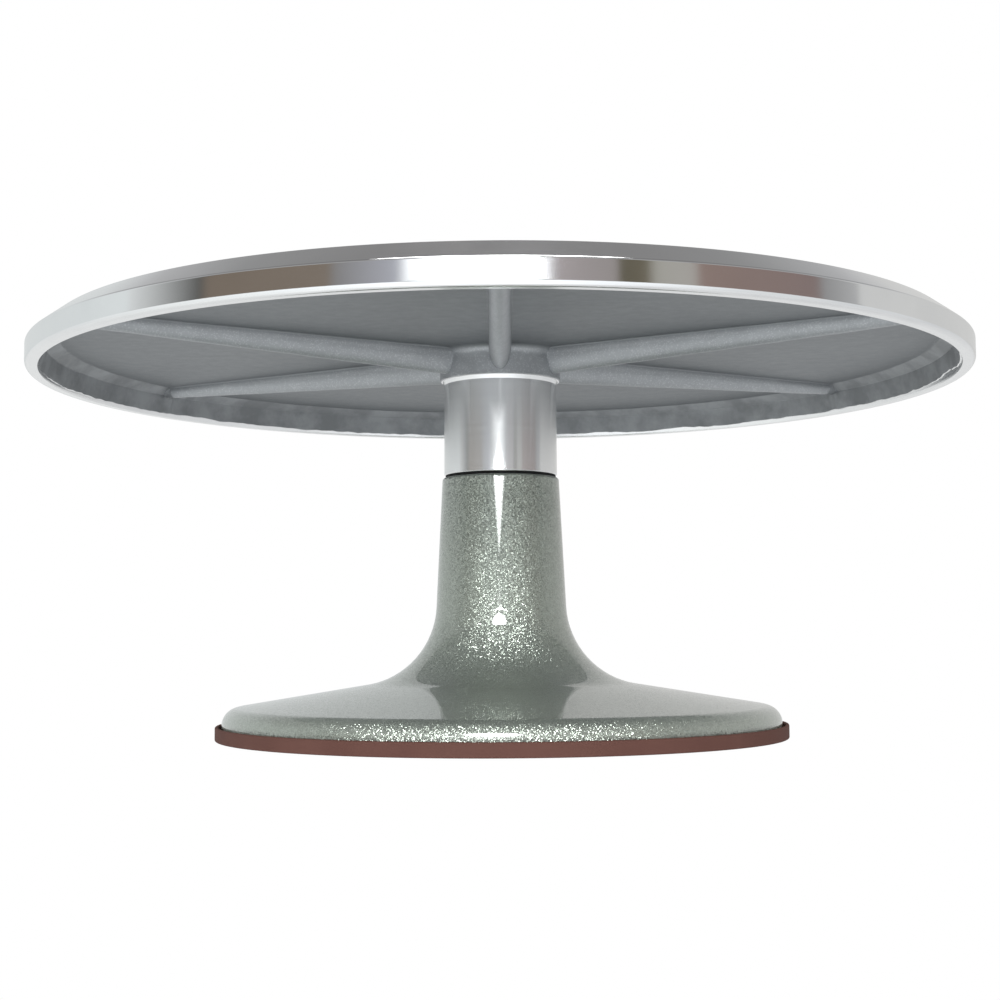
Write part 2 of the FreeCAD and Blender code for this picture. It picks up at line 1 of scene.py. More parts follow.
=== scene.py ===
"""Looks of the cake turntable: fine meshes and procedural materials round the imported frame.

Lengths are metres in the part's own frame: +Z up along the spin axis, -Y towards the front, floor at 0.
The plate, collar, pedestal and foot pad get fine meshes here. The pieces inside keep their own meshes.
"""
import math

import bmesh
import bpy
from mathutils import Matrix, Vector, noise


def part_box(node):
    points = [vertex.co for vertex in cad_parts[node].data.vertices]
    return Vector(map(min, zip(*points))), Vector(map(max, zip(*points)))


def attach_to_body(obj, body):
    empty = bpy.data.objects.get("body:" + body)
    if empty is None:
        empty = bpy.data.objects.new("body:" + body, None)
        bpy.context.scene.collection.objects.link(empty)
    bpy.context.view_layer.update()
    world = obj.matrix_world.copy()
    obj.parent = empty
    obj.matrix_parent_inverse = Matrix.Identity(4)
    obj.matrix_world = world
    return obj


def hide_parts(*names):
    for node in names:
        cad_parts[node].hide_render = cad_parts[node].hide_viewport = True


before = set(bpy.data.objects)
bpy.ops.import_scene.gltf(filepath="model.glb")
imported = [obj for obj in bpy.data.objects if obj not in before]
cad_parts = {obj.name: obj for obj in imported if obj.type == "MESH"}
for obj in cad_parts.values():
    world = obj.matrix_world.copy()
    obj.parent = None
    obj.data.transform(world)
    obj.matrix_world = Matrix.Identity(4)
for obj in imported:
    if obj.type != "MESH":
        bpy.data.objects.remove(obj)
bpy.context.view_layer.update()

MM = 0.001
SEGMENTS = 192          # faces round a turned piece
ARC_STEPS = 6           # faces along a rounded corner of a turned piece
SHARP = math.radians(32)        # an edge that turns more than this stays sharp
WELD = 0.002 * MM               # points closer than this become one

# ---------------------------------------------------------------- sizes, from the frame where it has them

PLATE_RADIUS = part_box("turntable_plate")[1].y
PLATE_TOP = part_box("turntable_plate")[1].z
SPIGOT_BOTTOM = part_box("turntable_plate")[0].z
COLLAR_LIP = 0.5 * MM           # how far the lip at its top stands out
COLLAR_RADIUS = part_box("collar_sleeve")[1].y - COLLAR_LIP
COLLAR_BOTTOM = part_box("collar_sleeve")[0].z
COLLAR_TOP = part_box("collar_sleeve")[1].z
STEM_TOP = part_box("pedestal_casting")[1].z
FOOT_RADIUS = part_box("pedestal_casting")[1].y
FOOT_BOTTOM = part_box("pedestal_casting")[0].z
PAD_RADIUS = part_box("foot_pad")[1].y
HEAD_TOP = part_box("spindle")[1].z

BEVEL_WIDTH, BEVEL_HEIGHT = 7.6 * MM, 5.7 * MM
BEVEL_TOP_ROUND, BEVEL_LOW_ROUND = 0.6 * MM, 0.9 * MM
RIM_BOTTOM = PLATE_TOP - 12.9 * MM
RIM_INNER = PLATE_RADIUS - 4.0 * MM
RIM_FOOT_ROUND, RIM_INNER_ROUND = 1.6 * MM, 0.25 * MM
POLISH_LOW = 0.6                # how far up the foot's rounding the polish starts
WALL_RADIUS, WALL_TOP = PLATE_RADIUS - 5.6 * MM, PLATE_TOP - 5.1 * MM   # the rim's inner wall, at its top
WALL_ROUND = 0.8 * MM
WEB = PLATE_TOP - 2.5 * MM
WEB_STEP = 1.5 * MM             # from one ring of faces on the web to the next
COVE_RADIUS = PLATE_RADIUS - 9.9 * MM
COVE_ROUND, COVE_START = 2.5 * MM, 1.2 * MM
TURNED_STRIP = 1.35 * MM        # how far up the rim's inner wall is turned clean, to the ragged cast skin
TURNED_RAGGED = 1.3 * MM        # how unevenly the strip ends
CAST_PROUD = 0.4 * MM           # how far the cast skin stands proud of the turned strip
CAST_RELIEF = 0.1 * MM          # how uneven the cast skin is
HUB_RADIUS = 20 * MM
HUB_ROUND = 2.8 * MM
HUB_CHAMFER = 0.4 * MM
SPIGOT_RADIUS = 15.8 * MM
BORE_RADIUS = 8.0 * MM
HEAD_ROOM = 0.5 * MM            # above the spindle's head
RIB_COUNT = 6
RIB_INNER, RIB_OUTER = 12 * MM, 148 * MM
RIB_HUB_LOW, RIB_RIM_LOW = 118.1 * MM, 123.4 * MM
RIB_HUB_HALF, RIB_RIM_HALF = 3.7 * MM, 2.8 * MM
RIB_ROOT_ROUND = 0.7 * MM
RIB_STEPS = 16                  # faces across a rib, from root to root
BLEND_POWER = 10                # how tightly a rib runs into the hub or the rim: higher is sharper
BLEND_LIMIT = 0.2 * MM          # how far such a blend may stand below both of its surfaces
GAP_STEPS = 64                  # faces between the feet of two ribs
GUIDE_RINGS = (50.8 * MM, 76.2 * MM, 101.6 * MM, 127.0 * MM)
GUIDE_HALF, GUIDE_DEPTH = 0.4 * MM, 0.3 * MM
GUIDE_LAND = 4 * MM             # flat ring of faces on each side of a guide ring
TOP_RADII = (36, 24, 12, 4, 0)  # rings of faces inside the guide rings, in millimetres

# The pedestal. Corners are where straight lines would meet, as (radius, height).
STEM_RADIUS = 19.3 * MM
SWEEP_CORNER, SWEEP_ROUND = (22.5 * MM, 20.5 * MM), 27 * MM     # from the stem out into the foot
SHOULDER_HEIGHT, SHOULDER_ROUND = 9.5 * MM, 5.6 * MM
BELL_RADIUS, BELL_EDGE, BELL_DEEP = 86.8 * MM, (84 * MM, 7.1 * MM), (34 * MM, 14.6 * MM)
THROAT_RADIUS, THROAT_LOW, THROAT_TOP = 20.5 * MM, 24 * MM, 30 * MM
SEAT_RADIUS, SEAT_CHAMFER = 16 * MM, 0.5 * MM
SHELF_RADIUS = 14 * MM          # between the bearings
GROOVE_RADIUS, GROOVE_HEIGHT = 16.85 * MM, 1.3 * MM             # for the retaining ring
BELL_LINE = (30 * MM, 15.6 * MM), (84 * MM, 7.6 * MM)           # runs just above the bell's ceiling
BARE_MARGIN = 0.5 * MM          # how far past the throat a face still counts as inside

# Stretches of the rim's inner wall, in degrees from the front towards +X: where each one starts, is full,
# fades and ends. The turned strip is higher along one. The cast skin is dressed down along the other.
HIGH_STRETCH, HIGH_STEP = (78, 86, 90, 98), 0.8 * MM
DRESSED_STRETCH, DRESSED_SHARE = (-97, -96, -62, -58), 0.8
LUMP_DEGREES, LUMP_PROUD = 1.7, 0.5 * MM    # the lump of cast metal where a rib meets the wall


# ---------------------------------------------------------------- outlines and turned meshes

def rounded(corners, closed=True, steps=ARC_STEPS):
    """Points along an outline whose corners (x, y, radius) become arcs. Radius 0 keeps a corner sharp."""
    points = []
    for i, (x, y, radius) in enumerate(corners):
        here = Vector((x, y))
        if radius == 0 or (not closed and i in (0, len(corners) - 1)):
            points.append(here)
            continue
        to_last = (Vector(corners[i - 1][:2]) - here).normalized()
        to_next = (Vector(corners[(i + 1) % len(corners)][:2]) - here).normalized()
        half = to_last.angle(to_next) / 2
        centre = here + (to_last + to_next).normalized() * (radius / math.sin(half))
        start = here + to_last * (radius / math.tan(half)) - centre
        end = here + to_next * (radius / math.tan(half)) - centre
        first = math.atan2(start.y, start.x)
        turn = (math.atan2(end.y, end.x) - first + math.pi) % (2 * math.pi) - math.pi
        for step in range(steps + 1):
            angle = first + turn * step / steps
            points.append(centre + Vector((math.cos(angle), math.sin(angle))) * radius)
    return points


def skin(name, rings, zones, materials):
    """A closed mesh over rings of points, the last ring joined to the first. A zone is a material index."""
    work = bmesh.new()
    made = [[work.verts.new(point) for point in ring] for ring in rings]
    count = len(rings[0])
    for i, zone in enumerate(zones):
        this, following = made[i], made[(i + 1) % len(made)]
        for j in range(count):
            k = (j + 1) % count
            face = work.faces.new((this[j], this[k], following[k], following[j]))
            face.material_index = zone
            face.smooth = True
    bmesh.ops.remove_doubles(work, verts=work.verts, dist=WELD)
    bmesh.ops.dissolve_degenerate(work, edges=work.edges, dist=WELD)
    bmesh.ops.recalc_face_normals(work, faces=work.faces)
    for edge in work.edges:
        if len(edge.link_faces) == 2 and edge.calc_face_angle(0) > SHARP:
            edge.smooth = False
    mesh = bpy.data.meshes.new(name)
    work.to_mesh(mesh)
    work.free()
    for material in materials:
        mesh.materials.append(material)
    piece = bpy.data.objects.new(name, mesh)
    bpy.context.scene.collection.objects.link(piece)
    weighting = piece.modifiers.new("even_normals", "WEIGHTED_NORMAL")
    weighting.keep_sharp = True
    return piece


def lathe(name, outline, materials, zone_of=lambda radius, height: 0):
    """A turned piece from a closed outline of (radius, height) points."""
    rings = []
    for point in outline:
        angles = [2 * math.pi * j / SEGMENTS for j in range(SEGMENTS)]
        rings.append([(point.x * math.cos(a), point.x * math.sin(a), point.y) for a in angles])
    zones = []
    for i, point in enumerate(outline):
        middle = (point + outline[(i + 1) % len(outline)]) / 2
        zones.append(zone_of(middle.x, middle.y))
    return skin(name, rings, zones, materials)


def attach(piece, body, slot, *nodes):
    """Puts a piece on its body, in place of the frame's own nodes."""
    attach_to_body(piece, body)
    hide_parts(*nodes)


# ---------------------------------------------------------------- node helpers

def new_material(name):
    """An empty node material with a Principled shader on its output: (material, tree, shader)."""
    material = bpy.data.materials.new(name)
    material.use_nodes = True
    tree = material.node_tree
    tree.nodes.clear()
    shader = tree.nodes.new("ShaderNodeBsdfPrincipled")
    output = tree.nodes.new("ShaderNodeOutputMaterial")
    tree.links.new(shader.outputs["BSDF"], output.inputs["Surface"])
    return material, tree, shader


def node(tree, kind, inputs=None, **settings):
    """A shader node. An input is a value, or a socket to link it to."""
    made = tree.nodes.new("ShaderNode" + kind)
    for name, value in settings.items():
        setattr(made, name, value)
    feed(tree, made, inputs or {})
    return made


def feed(tree, made, inputs):
    for key, value in inputs.items():
        if isinstance(value, bpy.types.NodeSocket):
            tree.links.new(value, made.inputs[key])
        else:
            made.inputs[key].default_value = value


def calc(tree, operation, a, b=0.0):
    return node(tree, "Math", {0: a, 1: b}, operation=operation).outputs[0]


def times(tree, a, b):
    return calc(tree, "MULTIPLY", a, b)


def scaled(tree, vector, by):
    return node(tree, "VectorMath", {0: vector, "Scale": by}, operation="SCALE").outputs[0]


def place(tree):
    return node(tree, "TexCoord").outputs["Object"]


def blend(tree, factor, a, b):
    """The colour a where factor is 0 and b where it is 1."""
    made = node(tree, "Mix", {0: factor, 6: a, 7: b}, data_type="RGBA")
    return made.outputs[2]


def ramp(tree, factor, stops):
    """A colour ramp through (position, colour) stops."""
    made = node(tree, "ValToRGB", {0: factor})
    elements = made.color_ramp.elements
    while len(elements) < len(stops):
        elements.new(0.5)
    for element, (position, colour) in zip(elements, stops):
        element.position = position
        element.color = (*colour, 1)
    return made.outputs["Color"]


def grain(tree, scale, detail, roughness=0.55):
    """Noise with a scale in waves per metre."""
    inputs = {"Scale": scale, "Detail": detail, "Roughness": roughness, "Vector": place(tree)}
    return node(tree, "TexNoise", inputs).outputs["Fac"]


def bump(tree, height, distance, strength):
    inputs = {"Height": height, "Distance": distance, "Strength": strength}
    return node(tree, "Bump", inputs).outputs["Normal"]


def turned_lines(tree, per_metre):
    """Lathe marks: noise that changes only across the cut, by the radius less the height."""
    split = node(tree, "SeparateXYZ", {0: place(tree)})
    flat = node(tree, "CombineXYZ", {0: split.outputs[0], 1: split.outputs[1]})
    radius = node(tree, "VectorMath", {0: flat.outputs[0]}, operation="LENGTH").outputs["Value"]
    across = calc(tree, "SUBTRACT", radius, split.outputs[2])
    inputs = {"W": times(tree, across, per_metre), "Scale": 1.0, "Detail": 3.0}
    return node(tree, "TexNoise", inputs, noise_dimensions="1D").outputs["Fac"]


def range_of(tree, value, low, high):
    """A value from 0 to 1 spread between two limits."""
    return node(tree, "MapRange", {"Value": value, "To Min": low, "To Max": high}).outputs["Result"]


def progress(tree, value, start, end):
    """How far a value is on its way from start to end, kept between 0 and 1."""
    return node(tree, "MapRange", {"Value": value, "From Min": start, "From Max": end}).outputs["Result"]


def round_marks(tree):
    """The direction round the spin axis, for highlights drawn out across turning marks."""
    return node(tree, "Tangent", direction_type="RADIAL", axis="Z").outputs[0]


# ---------------------------------------------------------------- materials

def polished_aluminium():
    """The rim's bevel and band: nearly a mirror round the rim, drawn out across the turning marks."""
    material, tree, shader = new_material("polished_aluminium")
    lines = turned_lines(tree, 9000)
    smears = grain(tree, 60, 3)
    feed(tree, shader, {
        "Base Color": blend(tree, smears, (0.74, 0.75, 0.76, 1), (0.84, 0.845, 0.85, 1)),
        "Metallic": 1.0, "Roughness": range_of(tree, smears, 0.07, 0.13),
        "Anisotropic": 0.7, "Anisotropic Rotation": 0.25,
        "Tangent": round_marks(tree),
        "Normal": bump(tree, lines, 0.004 * MM, 0.35),
    })
    return material


def turned_top():
    """The plate's upper face: concentric tool marks that draw highlights out along the radius."""
    material, tree, shader = new_material("turned_top")
    lines = turned_lines(tree, 4200)
    fine = turned_lines(tree, 16000)
    wear = grain(tree, 28, 5)
    both = calc(tree, "ADD", lines, times(tree, fine, 0.5))
    feed(tree, shader, {
        "Base Color": blend(tree, wear, (0.44, 0.445, 0.45, 1), (0.54, 0.545, 0.55, 1)),
        "Metallic": 1.0, "Roughness": range_of(tree, wear, 0.36, 0.44),
        "Anisotropic": 0.6, "Anisotropic Rotation": 0.25,
        "Tangent": round_marks(tree),
        "Normal": bump(tree, both, 0.008 * MM, 0.5),
    })
    return material


def distance_from_axis(tree):
    """How far a point is from the spin axis, in metres."""
    spot = node(tree, "SeparateXYZ", {0: place(tree)})
    squares = [times(tree, spot.outputs[axis], spot.outputs[axis]) for axis in (0, 1)]
    return calc(tree, "SQRT", calc(tree, "ADD", *squares))


def cast_aluminium():
    """The plate's underside: sand-cast skin, blue-grey and grainy.

    It has painted light: it is lighter on the ribs, the hub and the rim's inner wall, and painted glints
    fleck the ribs and the hub. It is stained in patches on the rim's inner wall."""
    material, tree, shader = new_material("cast_aluminium")
    sand = grain(tree, 1500, 6, 0.65)
    lumps = grain(tree, 260, 4)
    clouds = grain(tree, 22, 4)
    height = node(tree, "SeparateXYZ", {0: place(tree)}).outputs[2]
    crest = progress(tree, height, WEB - 0.2 * MM, WEB - 1.8 * MM)
    radius = distance_from_axis(tree)
    on_rib = times(tree, crest, calc(tree, "LESS_THAN", radius, COVE_RADIUS))
    on_wall = calc(tree, "GREATER_THAN", radius, COVE_RADIUS)
    # Painted glints: bright flecks in the colour of the ribs' crests and the hub, standing in for sparkles
    # of light.
    glint_cells = node(tree, "TexVoronoi", {"Vector": place(tree), "Scale": 3600.0}).outputs["Color"]
    painted_glint = calc(tree, "GREATER_THAN", node(tree, "SeparateColor", {0: glint_cells}).outputs[0], 0.86)
    painted_glint = times(tree, times(tree, painted_glint, on_rib), 0.24)
    tone = blend(tree, clouds, (0.16, 0.17, 0.18, 1), (0.215, 0.226, 0.235, 1))
    # Painted light: the ribs, the hub and the rim's inner wall get a lighter colour, standing in for light
    # that falls on them from the sides and below.
    painted_light_share = calc(tree, "MAXIMUM", times(tree, on_rib, 0.7), times(tree, on_wall, 0.5))
    tone = blend(tree, painted_light_share, tone, (0.45, 0.465, 0.48, 1))
    tone = blend(tree, times(tree, sand, 0.3), tone, (0.34, 0.35, 0.36, 1))
    stains = progress(tree, grain(tree, 75, 5, 0.6), 0.38, 0.6)
    stained = times(tree, times(tree, stains, on_wall), 0.45)
    tone = blend(tree, stained, tone, (0.11, 0.116, 0.12, 1))
    relief = calc(tree, "ADD", times(tree, lumps, 0.8), times(tree, sand, 0.45))
    feed(tree, shader, {
        "Base Color": blend(tree, painted_glint, tone, (0.8, 0.81, 0.82, 1)),
        "Metallic": 0.75, "Roughness": range_of(tree, lumps, 0.42, 0.62),
        "Normal": bump(tree, relief, 0.12 * MM, 0.8),
    })
    return material


def satin_aluminium():
    """The lower faces of rim and hub and the strip turned inside the rim: dull, with faint round marks."""
    material, tree, shader = new_material("satin_aluminium")
    lines = turned_lines(tree, 2600)
    smears = grain(tree, 75, 4)
    feed(tree, shader, {
        "Base Color": blend(tree, smears, (0.76, 0.765, 0.77, 1), (0.88, 0.88, 0.88, 1)),
        "Metallic": 1.0, "Roughness": range_of(tree, smears, 0.16, 0.26),
        "Normal": bump(tree, lines, 0.01 * MM, 0.4),
    })
    return material


def turned_aluminium():
    """The collar: bright, with fine rings round it that stretch reflections up and down."""
    material, tree, shader = new_material("turned_aluminium")
    lines = turned_lines(tree, 5200)
    broad = turned_lines(tree, 700)
    feed(tree, shader, {
        "Base Color": blend(tree, lines, (0.80, 0.805, 0.81, 1), (0.88, 0.88, 0.88, 1)),
        "Metallic": 1.0, "Roughness": range_of(tree, broad, 0.19, 0.24),
        "Anisotropic": 0.92, "Anisotropic Rotation": 0.25,
        "Tangent": round_marks(tree),
        "Normal": bump(tree, lines, 0.005 * MM, 0.4),
    })
    return material


def flakes(tree, scale, tilt):
    """One layer of paint flakes: (a random value for each flake, a normal tilted by flake)."""
    cells = node(tree, "TexVoronoi", {"Vector": place(tree), "Scale": scale}).outputs["Color"]
    centred = node(tree, "VectorMath", {0: cells, 1: (0.5, 0.5, 0.5)}, operation="SUBTRACT").outputs[0]
    normal = node(tree, "NewGeometry").outputs["Normal"]
    leaning = {0: normal, 1: scaled(tree, centred, tilt)}
    tilted = node(tree, "VectorMath", leaning, operation="ADD").outputs[0]
    unit = node(tree, "VectorMath", {0: tilted}, operation="NORMALIZE").outputs[0]
    return node(tree, "SeparateColor", {0: cells}).outputs[1], unit


def glitter_paint():
    """The pedestal's paint: fine grey-green metallic flakes at many tilts under a clear gloss coat."""
    material, tree, shader = new_material("glitter_paint")
    value, normal = flakes(tree, 4100.0, 0.82)
    clouds = grain(tree, 9, 3)
    tone = ramp(tree, value, [(0.0, (0.30, 0.335, 0.292)), (0.8, (0.345, 0.38, 0.335)),
                              (1.0, (0.52, 0.55, 0.50))])
    feed(tree, shader, {
        "Base Color": blend(tree, times(tree, clouds, 0.3), tone, (0.35, 0.37, 0.33, 1)),
        "Metallic": 0.76, "Roughness": range_of(tree, value, 0.3, 0.37), "Normal": normal,
        "Coat Weight": 1.0, "Coat Roughness": 0.03, "Coat IOR": 1.5,
    })
    return material


def bare_casting():
    """The hollow inside of the pedestal: dull primer over a rough cast skin."""
    material, tree, shader = new_material("bare_casting")
    sand = grain(tree, 900, 6, 0.65)
    clouds = grain(tree, 35, 4)
    feed(tree, shader, {
        "Base Color": blend(tree, clouds, (0.085, 0.09, 0.088, 1), (0.15, 0.158, 0.15, 1)),
        "Metallic": 0.3, "Roughness": range_of(tree, sand, 0.55, 0.8),
        "Normal": bump(tree, sand, 0.25 * MM, 0.8),
    })
    return material


def rubber(name, dark, light, rough):
    """Moulded rubber with a fine pebbled skin and a faint dusty bloom."""
    material, tree, shader = new_material(name)
    pebbles = grain(tree, 2600, 3)
    bloom = grain(tree, 45, 5)
    feed(tree, shader, {
        "Base Color": blend(tree, bloom, (*dark, 1), (*light, 1)),
        "Roughness": range_of(tree, pebbles, rough - 0.07, rough + 0.07),
        "Specular IOR Level": 0.12, "Normal": bump(tree, pebbles, 0.03 * MM, 0.5),
    })
    return material


def steel(name, dark, light, rough, per_metre=3000):
    """Turned or ground steel. Its marks run round the spin axis."""
    material, tree, shader = new_material(name)
    lines = turned_lines(tree, per_metre)
    stain = grain(tree, 180, 4)
    feed(tree, shader, {
        "Base Color": blend(tree, stain, (*dark, 1), (*light, 1)),
        "Metallic": 1.0, "Roughness": range_of(tree, stain, rough * 0.8, rough * 1.25),
        "Normal": bump(tree, lines, 0.006 * MM, 0.4),
    })
    return material


def nylon():
    """Moulded cream nylon, slightly see-through, with a satin skin."""
    material, tree, shader = new_material("nylon")
    skin_grain = grain(tree, 1400, 3)
    feed(tree, shader, {
        "Base Color": blend(tree, skin_grain, (0.70, 0.66, 0.55, 1), (0.80, 0.77, 0.67, 1)),
        "Roughness": range_of(tree, skin_grain, 0.38, 0.52),
        "Normal": bump(tree, skin_grain, 0.02 * MM, 0.4),
    })
    return material


# ---------------------------------------------------------------- the plate

def between(a, b, share):
    return a + (b - a) * share


def rib_section(distance):
    """Offset and height across a rib, from foot to foot, at a distance from the spin axis."""
    share = (distance - RIB_INNER) / (RIB_OUTER - RIB_INNER)
    depth = WEB - between(RIB_HUB_LOW, RIB_RIM_LOW, share)
    half = between(RIB_HUB_HALF, RIB_RIM_HALF, share)
    foot = half + 1.6 * RIB_ROOT_ROUND
    points = [(-foot, WEB, 0), (-half, WEB, RIB_ROOT_ROUND)]
    for step in range(2, RIB_STEPS - 1):
        angle = math.pi * step / RIB_STEPS
        points.append((-half * math.cos(angle), WEB - depth * math.sin(angle), 0))
    points += [(half, WEB, RIB_ROOT_ROUND), (foot, WEB, 0)]
    return rounded(points, closed=False, steps=4)


def smooth_step(value, start, end):
    share = min(max((value - start) / (end - start), 0), 1)
    return share * share * (3 - 2 * share)


def along(side, stretch):
    """1 along a stretch of the rim and 0 outside it."""
    starts, full, fades, ends = stretch
    return smooth_step(side, starts, full) * (1 - smooth_step(side, fades, ends))


def side_of(angle):
    """An angle round the axis as degrees from the front, positive towards +X."""
    return math.degrees(math.atan2(math.cos(angle), -math.sin(angle)))


def ragged(angle, per_turn, seed=0.0):
    """Uneven noise round the rim, from about -1 to 1."""
    return noise.noise(Vector((math.cos(angle), math.sin(angle), seed)) * per_turn)


def turned_height(angle):
    """Where the strip turned clean inside the rim ends, by the direction round the plate."""
    high = HIGH_STEP * along(side_of(angle), HIGH_STRETCH)
    uneven = 0.4 * ragged(angle, 9) + 0.3 * ragged(angle, 34, 3.0) + 0.15 * ragged(angle, 90, 7.0)
    return RIM_BOTTOM + TURNED_STRIP + high + TURNED_RAGGED * uneven


def cast_proud(angle):
    """How far the cast wall stands inwards: less where it was dressed, more where ribs meet it."""
    side, pitch = side_of(angle), 360 / RIB_COUNT
    dressed = DRESSED_SHARE * along(side, DRESSED_STRETCH)
    from_rib = abs((side + pitch / 2) % pitch - pitch / 2)
    lump = math.exp(-(from_rib / LUMP_DEGREES) ** 2) * (1.0 + 1.2 * ragged(angle, 60, 5.0))
    uneven = 0.25 * ragged(angle, 14, 1.0) + 0.2 * ragged(angle, 48, 2.0)
    return CAST_PROUD * (1 - dressed + uneven) + LUMP_PROUD * max(lump, 0)


def wall_at(height):
    """The turned wall's radius at a height: it leans in a little on its way up."""
    return between(RIM_INNER, WALL_RADIUS, (height - RIM_BOTTOM) / (WALL_TOP - RIM_BOTTOM))


def cast_row(share):
    """A row of the cast wall, from its top down to the ragged edge of the turned strip."""
    def spot_at(angle):
        height = between(WALL_TOP - 0.7 * MM, turned_height(angle), share)
        return wall_at(height) - cast_proud(angle), height
    return spot_at


def turned_row(share):
    """A row of the turned strip, from the ragged edge down to the rim's face."""
    def spot_at(angle):
        height = between(turned_height(angle) - 0.12 * MM, RIM_BOTTOM + 0.35 * MM, share)
        return wall_at(height), height
    return spot_at


def cove_row(radius, height, share):
    """A row of the cove between web and wall. It follows the wall's unevenness more and more."""
    def spot_at(angle):
        return radius - share * cast_proud(angle), height
    return spot_at


CAST, POLISHED, TURNED, SATIN = range(4)


def plain(zone, *spots):
    """Rows of the plate's skin that the ribs leave alone."""
    return [(spot, zone, False) for spot in spots]


def ribbed(zone, *spots):
    """Rows of the plate's skin that the ribs run into."""
    return [(spot, zone, True) for spot in spots]


def underside_rows():
    """Rows from the bore over the hub and the web to the foot of the rim's inner wall."""
    rows = plain(TURNED, (0, HEAD_TOP + HEAD_ROOM), (BORE_RADIUS, HEAD_TOP + HEAD_ROOM),
                 (BORE_RADIUS, SPIGOT_BOTTOM), (SPIGOT_RADIUS, SPIGOT_BOTTOM))
    rows += plain(SATIN, (SPIGOT_RADIUS, COLLAR_TOP), (HUB_RADIUS - HUB_CHAMFER, COLLAR_TOP))
    hub_low, hub_high, hub_count = COLLAR_TOP + 0.3 * MM, WEB - HUB_ROUND, 9
    for i in range(hub_count):
        rows += ribbed(CAST, (HUB_RADIUS, between(hub_low, hub_high, i / hub_count)))
    for step in range(9):
        angle = math.pi / 2 * step / 8
        out, down = HUB_ROUND * (1 - math.cos(angle)), HUB_ROUND * (1 - math.sin(angle))
        rows += ribbed(CAST, (HUB_RADIUS + out, WEB - down))
    web_start, web_end = HUB_RADIUS + HUB_ROUND, COVE_RADIUS - COVE_START
    count = round((web_end - web_start) / WEB_STEP)
    for i in range(count):
        rows += ribbed(CAST, (between(web_start, web_end, (i + 1) / count), WEB))
    cove = rounded([(web_end, WEB, 0), (COVE_RADIUS, WEB, COVE_ROUND), (WALL_RADIUS, WALL_TOP, WALL_ROUND),
                    (RIM_INNER, RIM_BOTTOM, 0)], closed=False, steps=5)[1:-1]
    for i, point in enumerate(cove):
        rows += ribbed(CAST, cove_row(*point, (i + 1) / len(cove)))
    rows += ribbed(CAST, *[cast_row(i / 7) for i in range(1, 8)])
    return rows + ribbed(SATIN, *[turned_row(share) for share in (0.0, 0.3, 0.65, 1.0)])


def plate_rows():
    """Rows of the plate's skin, (spot, zone, is it ribbed), from the bore over the rim to the top.

    A spot is a radius and a height, or a function that gives them by the direction round the axis."""
    rows = underside_rows()
    top_edge = PLATE_RADIUS - BEVEL_WIDTH
    rim = rounded([
        (RIM_INNER, RIM_BOTTOM + 0.4 * MM, 0), (RIM_INNER, RIM_BOTTOM, RIM_INNER_ROUND),
        (PLATE_RADIUS, RIM_BOTTOM, RIM_FOOT_ROUND),
        (PLATE_RADIUS, PLATE_TOP - BEVEL_HEIGHT, BEVEL_LOW_ROUND),
        (top_edge, PLATE_TOP, BEVEL_TOP_ROUND), (top_edge - 2 * MM, PLATE_TOP, 0),
    ], closed=False, steps=8)
    polish_start = RIM_BOTTOM + POLISH_LOW * RIM_FOOT_ROUND
    for point in rim[1:-1]:
        rows += plain(POLISHED if point.y > polish_start else SATIN, tuple(point))
    rows += plain(TURNED, tuple(rim[-1]))
    for ring in reversed(GUIDE_RINGS):
        rows += plain(TURNED, (ring + GUIDE_LAND, PLATE_TOP), (ring + GUIDE_HALF, PLATE_TOP),
                      (ring, PLATE_TOP - GUIDE_DEPTH), (ring - GUIDE_HALF, PLATE_TOP),
                      (ring - GUIDE_LAND, PLATE_TOP))
    return rows + plain(TURNED, *[(radius * MM, PLATE_TOP) for radius in TOP_RADII])


def plate_ring(spot, has_ribs):
    """One ring of the plate's skin. On a ribbed row the rib's surface and the row's run into each other."""
    nominal = spot(0.0) if callable(spot) else spot
    reach = min(max(nominal[0], HUB_RADIUS), RIB_OUTER)
    section = rib_section(reach)
    foot = math.asin(section[-1].x / reach)
    gap = 2 * math.pi / RIB_COUNT - 2 * foot
    ring = []
    for rib in range(RIB_COUNT):
        middle = 2 * math.pi * rib / RIB_COUNT - math.pi / 2
        across = [(middle + math.asin(point.x / reach), point.y) for point in section]
        across += [(middle + foot + gap * step / GAP_STEPS, WEB) for step in range(1, GAP_STEPS)]
        for angle, rib_height in across:
            radius, low = spot(angle) if callable(spot) else spot
            if has_ribs:
                rib_depth, row_depth = max(WEB - rib_height, 0), max(WEB - low, 0)
                joined = (rib_depth ** BLEND_POWER + row_depth ** BLEND_POWER) ** (1 / BLEND_POWER)
                low = WEB - min(joined, max(rib_depth, row_depth) + BLEND_LIMIT)
            ring.append((radius * math.cos(angle), radius * math.sin(angle), low))
    return ring


def roughen(piece, depth, zone):
    """Moves the vertices of one material's faces by uneven casting noise along their normals."""
    mesh = piece.data
    inside = {v for face in mesh.polygons if face.material_index == zone for v in face.vertices}
    outside = {v for face in mesh.polygons if face.material_index != zone for v in face.vertices}
    moves = {}
    for index in inside - outside:
        vertex = mesh.vertices[index]
        coarse, fine = noise.noise(vertex.co * 170), noise.noise(vertex.co * 520)
        moves[index] = vertex.normal * ((coarse + 0.5 * fine) * depth)
    for index, move in moves.items():
        mesh.vertices[index].co += move
    mesh.update()


def make_plate(materials):
    rows = plate_rows()
    rings = [plate_ring(spot, has_ribs) for spot, _, has_ribs in rows]
    zones = [zone for _, zone, _ in rows[1:]]
    plate = skin("plate", rings, zones, materials)
    roughen(plate, CAST_RELIEF, CAST)
    attach(plate, "turntable", "cast_aluminium", "turntable_plate")


# ---------------------------------------------------------------- the turned and moulded pieces

